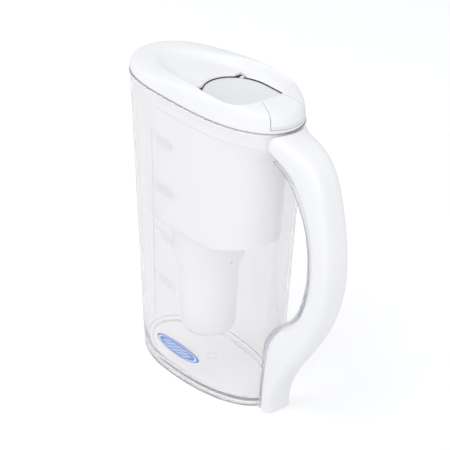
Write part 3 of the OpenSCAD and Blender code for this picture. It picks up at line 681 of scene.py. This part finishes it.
def hatch_half_at(behind):
    """Half the hatch's width at the pin, or so far behind it."""
    return HATCH["half"] * math.sqrt(1 - ((HATCH["front"] - PIN_BACK - behind) / HATCH["front"]) ** 2)


def rectangle(x0, x1, y0, y1):
    return [(x0, y0), (x1, y0), (x1, y1), (x0, y1)]


def lid_outside():
    """The lid's outer rings, from its lower edge up over the shoulder to the scoop's edge."""
    low, band = level(grown(RIM_PLAN, 0.2), LID_LOW), level(grown(RIM_PLAN, 0.2), BAND_TOP)
    top = level(grown(RIM_PLAN, -1.4), shoulder_at)
    crest = crest_ring(grown(SCOOP, 1.0), 0)
    return [between(low, band, 0.0), between(low, band, 0.3), band, between(band, top, 0.25, 0.3),
            between(band, top, 0.62, 0.6), top, between(top, crest, 0.2, 0.75), between(top, crest, 0.5, 0.9),
            between(top, crest, 0.8, 0.5), crest, crest_ring(SCOOP, 0.7)]


def wedge_outline(by, start):
    front, back = SCOOP["middle"] + SCOOP["rear"], REAR_REACH[1] + 6
    a, b = WEDGE_HALF[0] - by, WEDGE_HALF[1] - by
    return [(start, -a), (front, -a), (back, -b), (back, b), (front, a), (start, a)]


def make_lid():
    under = SCOOP_FLOOR - LID_WALL
    skirt_out = BAND_INSET + RESERVOIR_WALL + SKIRT_GAP
    skirt_in, skirt_low = skirt_out + SKIRT_WALL, RIM - SKIRT_DEPTH
    scoop_edge, scoop_floor = crest_ring(SCOOP, 0.7), floor_ring(SCOOP_FLOOR_PLAN, 0)
    rings = lid_outside()
    rings += [between(scoop_edge, scoop_floor, 0.3, -0.7), between(scoop_edge, scoop_floor, 0.6, -1.0),
              between(scoop_edge, scoop_floor, 0.88, -0.7), scoop_floor,
              level(grown(HOLE, HOLE_FLARE + 0.5), SCOOP_FLOOR - 0.05),
              level(grown(HOLE, HOLE_FLARE - 0.3), SCOOP_FLOOR - 0.4),
              level(grown(HOLE, 0.1), SCOOP_FLOOR - 1.3), level(HOLE, under + 0.2),
              level(grown(HOLE, 0.1), under),
              floor_ring(grown(SCOOP_FLOOR_PLAN, 0.8), LID_WALL),
              between(crest_ring(grown(SCOOP, 1.6), 0), scoop_floor, 0.5, -LID_WALL),
              crest_ring(grown(SCOOP, 1.6), LID_WALL + 1.2),
              level(grown(RIM_PLAN, -LID_WALL - 1.6),
                    lambda x: np.maximum(crest_at(x) - SHOULDER_DROP[0] - LID_WALL - 1, ceiling(x) + 0.3)),
              level(grown(RIM_PLAN, -LID_WALL), ceiling), rim_ring(skirt_in, ceiling),
              inner_ring(skirt_low, skirt_in), inner_ring(skirt_low, skirt_out), rim_ring(skirt_out, LID_LOW)]
    hole_edge = len(lid_outside()) + 8
    crease = [(i, 0.9) for i in range(hole_edge, len(rings))] + [(0, 0.8)]
    piece = skin("lid_moulding", rings, looped=True, crease=crease)
    slot = prism("slot", wedge_outline(0, HATCH["middle"] + HATCH["rear"] * 0.8), BAND_TOP, CREST + 20)
    notch_half = hatch_half_at(6) + 0.5
    notch = prism("notch", rectangle(PIN_X - NOTCH_AHEAD, PIN_X + NOTCH_BEHIND, -notch_half, notch_half),
                  under - 1, SCOOP_FLOOR + 1)
    x0 = -SPOUT_REACH[1] - 5
    x1 = x0 + POUR_CHANNEL + skirt_out + 4
    pour = prism("pour", rectangle(x0, x1, -POUR_HALF, POUR_HALF), LID_LOW - 1, LID_LOW + POUR_HEIGHT)
    cut(piece, slot, notch, pour)
    ear_from = hatch_half_at(KNUCKLE_R) + 0.6
    for side in (-1, 1):
        near, far = sorted((side * ear_from, side * (notch_half + 3)))
        cut(piece, across("ear", PIN_X, PIN_Z, KNUCKLE_R, near, far), how="UNION")
        near, far = sorted((side * (notch_half + 0.3), side * (notch_half + 2.7)))
        web = rectangle(PIN_X - 1.3, PIN_X + 1.3, near, far)
        cut(piece, prism("web", web, PIN_Z, SCOOP_FLOOR - 1), how="UNION")
    cut(piece, across("bore", PIN_X, PIN_Z, BORE_R, -notch_half - 4, notch_half + 4))
    smooth_mesh(piece)
    return finish_piece(piece, lid_white, "lid_body", "lid_shell")


# ---- hatch ------------------------------------------------------------------------------------
def make_hatch():
    """The round plate, a tongue and an upright behind it, and the wedge cut from the lid's own form."""
    rings = [level(grown(HATCH, -12), HATCH_LOW), level(grown(HATCH, -0.6), HATCH_LOW),
             level(grown(HATCH, -0.15), HATCH_LOW + 0.15), level(HATCH, HATCH_LOW + 0.6),
             level(HATCH, HATCH_TOP - 0.8), level(grown(HATCH, -0.2), HATCH_TOP - 0.25),
             level(grown(HATCH, -0.7), HATCH_TOP), level(grown(HATCH, -12), HATCH_TOP)]
    plate = skin("hatch_and_wedge", rings)
    front = SCOOP["middle"] + SCOOP["rear"]
    half, riser, riser_x = WEDGE_HALF[0] - WEDGE_GAP, 2.4, front - 0.3
    tail = HATCH["middle"] + HATCH["rear"] - 1.5
    tongue = prism("tongue", rectangle(tail, riser_x + riser, -half, half), HATCH_LOW, HATCH_TOP)
    upright = prism("upright", rectangle(riser_x, riser_x + riser, -half, half), HATCH_LOW, CREST - 0.7)
    form = skin("form", lid_outside() + [level(SCOOP, LID_LOW + LID_WALL)])
    cut(form, prism("wedge", wedge_outline(WEDGE_GAP, riser_x + riser - 0.5), BAND_TOP + 0.5, CREST + 20),
        how="INTERSECT")
    cut(plate, tongue, upright, form, how="UNION")
    knuckle = hatch_half_at(0) - 1
    cut(plate, across("knuckle", PIN_X, PIN_Z, KNUCKLE_R, -knuckle, knuckle), how="UNION")
    cut(plate, across("bore", PIN_X, PIN_Z, BORE_R, -knuckle - 3, knuckle + 3))
    soften(plate, 0.5, angle=50)
    finish_piece(plate, hatch_white_painted_shade, "hatch_body", "flip_lid")
    # Only the sunken plate keeps that painted shade; the wedge up at the crest gets the lid's white
    plate.data.materials.append(lid_white)
    wedge_x, _, wedge_z = metres([(front - 0.6, 0, HATCH_TOP + 0.4)])[0]
    for face in plate.data.polygons:
        if face.center.x > wedge_x and face.center.z > wedge_z:
            face.material_index = 1
    return plate


# ---- handle -----------------------------------------------------------------------------------
def saddle_width(share):
    return blend(STRAP_HALF, SADDLE_HALF, share)


# Outer x and z and inner x and z, with x from the jug's back wall at the rim, then the half
# width, and how closely the outer and the inner side follow the jug's curved back
HOOP = [(6.5, 262, 0.6, 243.5, SADDLE_HALF - 2, 0.85, 0.9),
        (16.5, 259.8, 3.6, 240, saddle_width(0.55), 0.45, 0.5),
        (27.5, 256, 10, 233.5, saddle_width(0.26), 0.15, 0.15),
        (36.3, 249.5, 16, 225.5, saddle_width(0.1), 0, 0),
        (43, 239, 21.8, 216, saddle_width(0.03), 0, 0),
        (48.2, 225.5, 27.3, 206, STRAP_HALF, 0, 0), (52, 209, 32, 194.5, STRAP_HALF, 0, 0),
        (55.5, 191, 35.2, 181, STRAP_HALF, 0, 0), (57.5, 171.5, 36.5, 166, STRAP_HALF, 0, 0),
        (57.3, 152, 36.2, 151, STRAP_HALF, 0, 0), (54.3, 133, 33.6, 136.5, STRAP_HALF, 0, 0),
        (48.8, 114.5, 29.3, 122, STRAP_HALF, 0, 0), (40.6, 96, 22.6, 108.5, STRAP_HALF, 0, 0),
        (31, 79, 12.8, 97.5, STRAP_HALF, 0, 0.1), (21, 63, 1.6, 87.5, STRAP_HALF, 0, 0.4)]
# The foot: outer x and z, and the height on the wall of the inner side
FOOT = [(11.5, 49, 73), (3.5, 35, 55), (-2.5, 21.5, 34), (-5.5, 10, 15), (-5.4, 0, 0)]
SADDLE_TOP, SADDLE_LOW = RIM - 0.4, RIM - 17


def strap_path():
    """All stations from the saddle's seat under the rim, over the hoop and down the foot."""
    back, seat = REAR_REACH[1], SEAT_GAP + LINER_THICK + LINER_GAP
    path = [(wall_x(0, SADDLE_TOP) + BEAD_PROUD + SEAT_GAP + 0.7, SADDLE_TOP,
             wall_x(0, SADDLE_LOW) + SEAT_GAP + 0.3, SADDLE_LOW, SADDLE_HALF, 1, 1)]
    path += [(back + s[0], s[1], back + s[2], *s[3:]) for s in HOOP]
    path += [(back + x, z, wall_x(0, low) + seat, low, STRAP_HALF, 0, 1) for x, z, low in FOOT]
    return np.array(path, float)


def finer(path, first, last):
    """One more station between each two of the hoop, on a smooth run through them."""
    out = []
    for i, station in enumerate(path):
        out.append(station)
        if first <= i < last:
            out.append((9 * (path[i] + path[i + 1]) - path[i - 1] - path[i + 2]) / 16)
    return np.array(out)


def strap_ring(s, half, count=40, fullness=4.0):
    """A rounded oblong from the station's inner point to its outer point."""
    turn = -2 * np.pi * np.arange(count) / count
    c, w = np.cos(turn), np.sin(turn)
    reach = (np.abs(c) ** fullness + np.abs(w) ** fullness) ** (-1 / fullness)
    t, y = (c * reach + 1) / 2, w * reach * half
    x, z = blend(s[2], s[0], t), blend(s[3], s[1], t)
    follow = blend(s[6], s[5], t)
    return np.stack([x + follow * (wall_x(y, z) - wall_x(0, z)), y, z], 1)


COVER_PATH = finer(strap_path(), 1, len(HOOP))


def make_handle():
    rings = [strap_ring(s, s[4]) for s in COVER_PATH]
    piece = skin("handle_white_cover", rings, crease=[(0, 0.8), (len(rings) - 1, 1.0)])
    return finish_piece(piece, handle_white, "jug_body", "handle_cover")


def make_liner():
    rings = []
    for i, s in list(enumerate(COVER_PATH))[1:]:
        inward = np.array([s[2] - s[0], s[3] - s[1]])
        inward = inward / np.hypot(*inward) if i < len(COVER_PATH) - len(FOOT) else np.array([-1.0, 0.0])
        near, far = inward * LINER_GAP, inward * (LINER_GAP + LINER_THICK)
        station = (s[2] + near[0], s[3] + near[1], s[2] + far[0], s[3] + far[1], s[4], s[6], s[6])
        rings.append(strap_ring(station, s[4] - LINER_SETBACK))
    piece = skin("handle_clear_strip", rings, crease=[(0, 1.0), (len(rings) - 1, 1.0)])
    return finish_piece(piece, liner_clear_painted_shade, "jug_body", "handle_liner")


# ---- marks on the near wall ---------------------------------------------------------------------
LINE_X, LINE_LOW, LINE_WIDTH = -10.0, 51.5, 0.5
MARK_TOP, MARK_STEP = 228.0, 44.0
DASH_STEP, DASHES = 3.2, 7
DIGIT_SIZE, DIGIT_STROKE = (3.6, 5.0), 0.36
DIGIT_START, DIGIT_STEP, DIGIT_DROP = 6, 5.8, 7.4
INK_LIFT, INK_TOP = 0.06, 0.12    # of a printed bar's lower and upper side from the wall


def ink(name):
    made, tree, shader, _ = material(name)
    surface(tree, shader, MOULDED, 0.1, 0.0001, Colour=(0.56, 0.56, 0.59, 1), Shade=(0.66, 0.66, 0.69, 1),
            Roughness=0.5, Flow_size=60.0)
    return made


def on_wall(points, lift):
    """Points (x, z) laid on the jug's near wall."""
    p = np.asarray(points, float)
    return np.stack([p[:, 0], -wall_y(p[:, 0], p[:, 1]) - lift, p[:, 1]], 1)


def bar(points, faces, x0, z0, x1, z1):
    """A thin printed bar on the wall."""
    a = len(points)
    flat = [(x0, z0), (x1, z0), (x1, z1), (x0, z1)]
    points.extend(on_wall(flat, INK_LIFT))
    points.extend(on_wall(flat, INK_TOP))
    faces.extend([(a + 4, a + 5, a + 6, a + 7), (a + 3, a + 2, a + 1, a), (a, a + 1, a + 5, a + 4),
                  (a + 1, a + 2, a + 6, a + 5), (a + 2, a + 3, a + 7, a + 6), (a + 3, a, a + 4, a + 7)])


# Which strokes of a figure-of-eight each digit has: t top, r and R upper and lower right,
# b foot, l and L upper and lower left, m middle
STROKES = {"0": "trRbLl", "1": "rR", "2": "trmLb", "5": "tlmRb"}


def digit(points, faces, char, x, z):
    (w, h), s = DIGIT_SIZE, DIGIT_STROKE
    spots = {"t": (x, z + h - s, x + w, z + h), "b": (x, z, x + w, z + s),
             "m": (x, z + h / 2 - s / 2, x + w, z + h / 2 + s / 2),
             "l": (x, z + h / 2, x + s, z + h), "L": (x, z, x + s, z + h / 2),
             "r": (x + w - s, z + h / 2, x + w, z + h), "R": (x + w - s, z, x + w, z + h / 2)}
    for stroke in STROKES[char]:
        bar(points, faces, *spots[stroke])


def make_marks():
    points, faces = [], []
    steps = 40
    for i in range(steps):
        z0, z1 = (blend(LINE_LOW, MARK_TOP + 4, t / steps) for t in (i, i + 1))
        bar(points, faces, LINE_X - LINE_WIDTH / 2, z0, LINE_X + LINE_WIDTH / 2, z1)
    for i, label in enumerate(("2500", "2000", "1500", "1000")):
        z = MARK_TOP - i * MARK_STEP
        for k in range(DASHES):
            bar(points, faces, LINE_X + 1 + DASH_STEP * k, z - LINE_WIDTH / 2,
                LINE_X + DASH_STEP + DASH_STEP * k, z + LINE_WIDTH / 2)
        for k, char in enumerate(label):
            digit(points, faces, char, LINE_X + DIGIT_START + DIGIT_STEP * k, z - DIGIT_DROP)
    piece = new_piece("volume_marks", metres(points), faces)
    return finish_piece(piece, ink("mark_ink"), "jug_body")


# ---- label --------------------------------------------------------------------------------------
# The print, in shares of its oval's half sizes. The pale inner line starts at the first of
# four shares, is full from the second to the third and ends at the fourth
LINE_AT = (0.83, 0.86, 0.9, 0.93)
WAVE_RATE = 24.0                  # radians over half the oval's length
WAVE_SWAY = 0.09
WAVE_HALF_STEP = 0.21             # half the way from one wave to the next
WAVE_EDGE = (0.05, 0.1)           # where a wave starts to fade, out from its middle, and is gone
WAVE_END = (0.66, 0.7)            # the same for all of them, out from the oval's middle


def label_print(name):
    """Clear film with a blue oval, a pale inner line and three small waves."""
    made, tree, shader, output = material(name)
    link, node = tree.links.new, tree.nodes.new
    place = node("ShaderNodeTexCoord")
    shift = vectors(tree, "SUBTRACT", place.outputs["Object"],
                    ((PRINT_AT[0] - CENTRE_X) * 0.001, 0, PRINT_AT[1] * 0.001))
    scale = vectors(tree, "MULTIPLY", shift, (2000 / PRINT_SIZE[0], 0, 2000 / PRINT_SIZE[1]))
    out = vectors(tree, "LENGTH", scale)
    ring = node("ShaderNodeValToRGB")
    stops = ring.color_ramp.elements
    stops[0].position, stops[0].color = LINE_AT[0], (0, 0, 0, 1)
    stops[1].position, stops[1].color = LINE_AT[1], (1, 1, 1, 1)
    for spot, shade in ((LINE_AT[2], 1), (LINE_AT[3], 0)):
        stops.new(spot).color = (shade, shade, shade, 1)
    link(out, ring.inputs["Fac"])
    parts = node("ShaderNodeSeparateXYZ")
    link(scale, parts.inputs["Vector"])
    wave = maths(tree, "SINE", maths(tree, "MULTIPLY", parts.outputs["X"], WAVE_RATE))
    lift = maths(tree, "MULTIPLY_ADD", wave, WAVE_SWAY, parts.outputs["Z"])
    far = maths(tree, "PINGPONG", lift, WAVE_HALF_STEP)
    waves = maths(tree, "MULTIPLY", ranged(tree, far, *WAVE_EDGE, 1, 0), ranged(tree, out, *WAVE_END, 1, 0))
    pale = maths(tree, "MAXIMUM", ring.outputs["Color"], waves)
    link(mixed(tree, pale, (0.16, 0.28, 0.66, 1), (0.8, 0.85, 0.95, 1)), shader.inputs["Base Color"])
    shader.inputs["Roughness"].default_value = 0.35
    shader.inputs["Coat Weight"].default_value = 0.4
    film = node("ShaderNodeBsdfTransparent")
    printed = maths(tree, "LESS_THAN", out, 1.0)
    show_mix(tree, output, printed, film.outputs["BSDF"], shader.outputs["BSDF"])
    return made


def make_label():
    rows, around = 6, 72
    spots = [(LABEL_AT[0], LABEL_AT[1])]
    for r in range(1, rows + 1):
        share = r / rows
        for k in range(around):
            a = 2 * math.pi * k / around
            spots.append((LABEL_AT[0] + LABEL_SIZE[0] / 2 * share * math.cos(a),
                          LABEL_AT[1] + LABEL_SIZE[1] / 2 * share * math.sin(a)))
    n = len(spots)
    points = np.concatenate([on_wall(spots, 0.05 + LABEL_THICK), on_wall(spots, 0.05)])
    faces = []
    for k in range(around):
        m = (k + 1) % around
        faces.append((0, 1 + k, 1 + m))
        for r in range(rows - 1):
            a, b = 1 + r * around, 1 + (r + 1) * around
            faces.append((a + k, b + k, b + m, a + m))
        last = 1 + (rows - 1) * around
        faces.append((last + k, n + last + k, n + last + m, last + m))
    faces += [tuple(n + v for v in reversed(f)) for f in list(faces) if max(f) < n]
    piece = new_piece("oval_label", metres(points), faces)
    smooth_mesh(piece)
    return finish_piece(piece, label_print("label_print"), "jug_body", "label")


# ---- cartridge and pin: the frame's own solids with better surfaces ------------------------------
def dress_frame_nodes():
    felt = felt_pad("pressed_felt")
    carbon = packed_medium("carbon_granules", (0.03, 0.03, 0.033), (0.004, 0.004, 0.004), 800)
    resin = packed_medium("resin_beads", (0.6, 0.36, 0.1), (0.12, 0.06, 0.02), 1200)
    mineral = packed_medium("mineral_beads", (0.42, 0.34, 0.27), (0.1, 0.08, 0.06), 420)
    finishes = {"cartridge_housing": cartridge_white, "cartridge_base": cartridge_white,
                "cartridge_cap": cartridge_white, "cartridge_seal": seal_rubber("seal_rubber"),
                "inlet_felt": felt, "upper_divider": felt, "lower_divider": felt, "outlet_felt": felt,
                "carbon_bed": carbon, "resin_bed": resin, "mineral_bed": mineral,
                "flip_pin": drawn_steel("pin_steel")}
    for name, finish in finishes.items():
        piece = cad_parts[name]
        for slot in piece.material_slots:
            slot.material = finish
        rounding = piece.modifiers.new("even_shading", "WEIGHTED_NORMAL")
        rounding.keep_sharp = True


# ---- stage, light and camera ----------------------------------------------------------------------
FLOOR_LIFT = 0.2                  # glow that brings the floor near white where the camera sees it


def make_stage():
    half = 6.0
    floor = new_piece("floor", [(-half, -half, 0), (half, -half, 0), (half, half, 0), (-half, half, 0)],
                      [(0, 1, 2, 3)])
    made, tree, shader, _ = material("pale_floor")
    shader.inputs["Base Color"].default_value = (0.86, 0.86, 0.86, 1)
    shader.inputs["Roughness"].default_value = 1.0
    shader.inputs["Specular IOR Level"].default_value = 0.0
    shader.inputs["Emission Color"].default_value = (1.0, 1.0, 1.0, 1)
    lift = maths(tree, "MULTIPLY", seen_ray(tree), FLOOR_LIFT)
    tree.links.new(lift, shader.inputs["Emission Strength"])
    paint(floor, made)


def make_world():
    """A soft sky that lights the object, and plain white behind it."""
    world = bpy.data.worlds.new("studio")
    bpy.context.scene.world = world
    world.use_nodes = True
    tree = world.node_tree
    tree.nodes.clear()
    sky, white = (tree.nodes.new("ShaderNodeBackground") for _ in range(2))
    sky.inputs["Color"].default_value = (0.97, 0.98, 1.0, 1)
    sky.inputs["Strength"].default_value = 0.8
    white.inputs["Strength"].default_value = 1.0
    output = tree.nodes.new("ShaderNodeOutputWorld")
    show_mix(tree, output, seen_ray(tree), sky.outputs["Background"], white.outputs["Background"])


def lamp(name, spot, aim, size, power):
    data = bpy.data.lights.new(name, "AREA")
    data.shape, data.size, data.energy = "SQUARE", size, power
    made = bpy.data.objects.new(name, data)
    made.location = spot
    made.rotation_euler = (Vector(aim) - Vector(spot)).to_track_quat("-Z", "Y").to_euler()
    bpy.context.collection.objects.link(made)


VIEW_AZIMUTH, VIEW_ELEVATION, VIEW_ROLL = 50.36, 30.31, 0.8
VIEW_DISTANCE = 1.4722
VIEW_AIM = (31.0, 2.6, 143.1)
SENSOR = 36.0
FOCAL_PIXELS, PICTURE_PIXELS = 1772.5, 450


def make_camera():
    a, e, roll = (math.radians(v) for v in (VIEW_AZIMUTH, VIEW_ELEVATION, VIEW_ROLL))
    back = Vector((math.sin(a) * math.cos(e), -math.cos(a) * math.cos(e), math.sin(e)))
    right = Vector((0, 0, 1)).cross(back).normalized()
    up = back.cross(right)
    across_view = right * math.cos(roll) + up * math.sin(roll)
    up_view = up * math.cos(roll) - right * math.sin(roll)
    aim = Vector(metres([VIEW_AIM])[0])
    data = bpy.data.cameras.new("camera")
    data.sensor_width, data.lens = SENSOR, FOCAL_PIXELS / PICTURE_PIXELS * SENSOR
    data.clip_start, data.clip_end = 0.01, 50
    camera = bpy.data.objects.new("camera", data)
    bpy.context.collection.objects.link(camera)
    turn = Matrix((across_view, up_view, back)).transposed().to_4x4()
    camera.matrix_world = Matrix.Translation(aim + back * VIEW_DISTANCE) @ turn
    bpy.context.scene.camera = camera


make_camera()
make_jug()
make_reservoir()
make_lid()
make_hatch()
make_handle()
make_liner()
make_marks()
make_label()
dress_frame_nodes()
make_stage()
make_world()
lamp("key", (-0.4, -1.0, 1.5), (0, 0, 0.12), 1.8, 9)
lamp("fill", (1.2, -0.6, 0.8), (0, 0, 0.12), 1.6, 5)
bpy.context.scene.view_settings.view_transform = "Standard"
